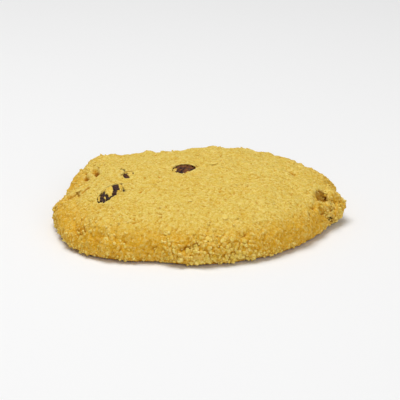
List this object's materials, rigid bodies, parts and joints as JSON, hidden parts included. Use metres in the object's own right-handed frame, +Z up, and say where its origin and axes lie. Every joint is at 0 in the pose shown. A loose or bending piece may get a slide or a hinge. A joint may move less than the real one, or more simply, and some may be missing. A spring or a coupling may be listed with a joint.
{
  "type": "oatmeal raisin cookie",
  "caption": "Round baked oatmeal cookie with a low domed top, a craggy edge, a flat underside and raisins set in the top.",
  "frame": {"origin": "middle of the footprint's bounding box on the flat underside, at the height of the surface the cookie lies on", "axes": "+Z up out of the domed top; -Y is the front, the side with the crumbly edge and the undercut; +X runs to the ragged outcrop"},
  "size_m": [0.0722, 0.069, 0.0123],
  "materials": {
    "baked_dough": "matt, crumbly golden baked oat dough, browner at the edge and underneath",
    "raisin_skin": "dark, deeply wrinkled raisin skin with a soft sheen"
  },
  "bodies": {
    "root": {"dough": "baked_dough", "raisin_back": "raisin_skin", "raisin_left": "raisin_skin", "raisin_buried": "raisin_skin"}
  },
  "joints": []
}
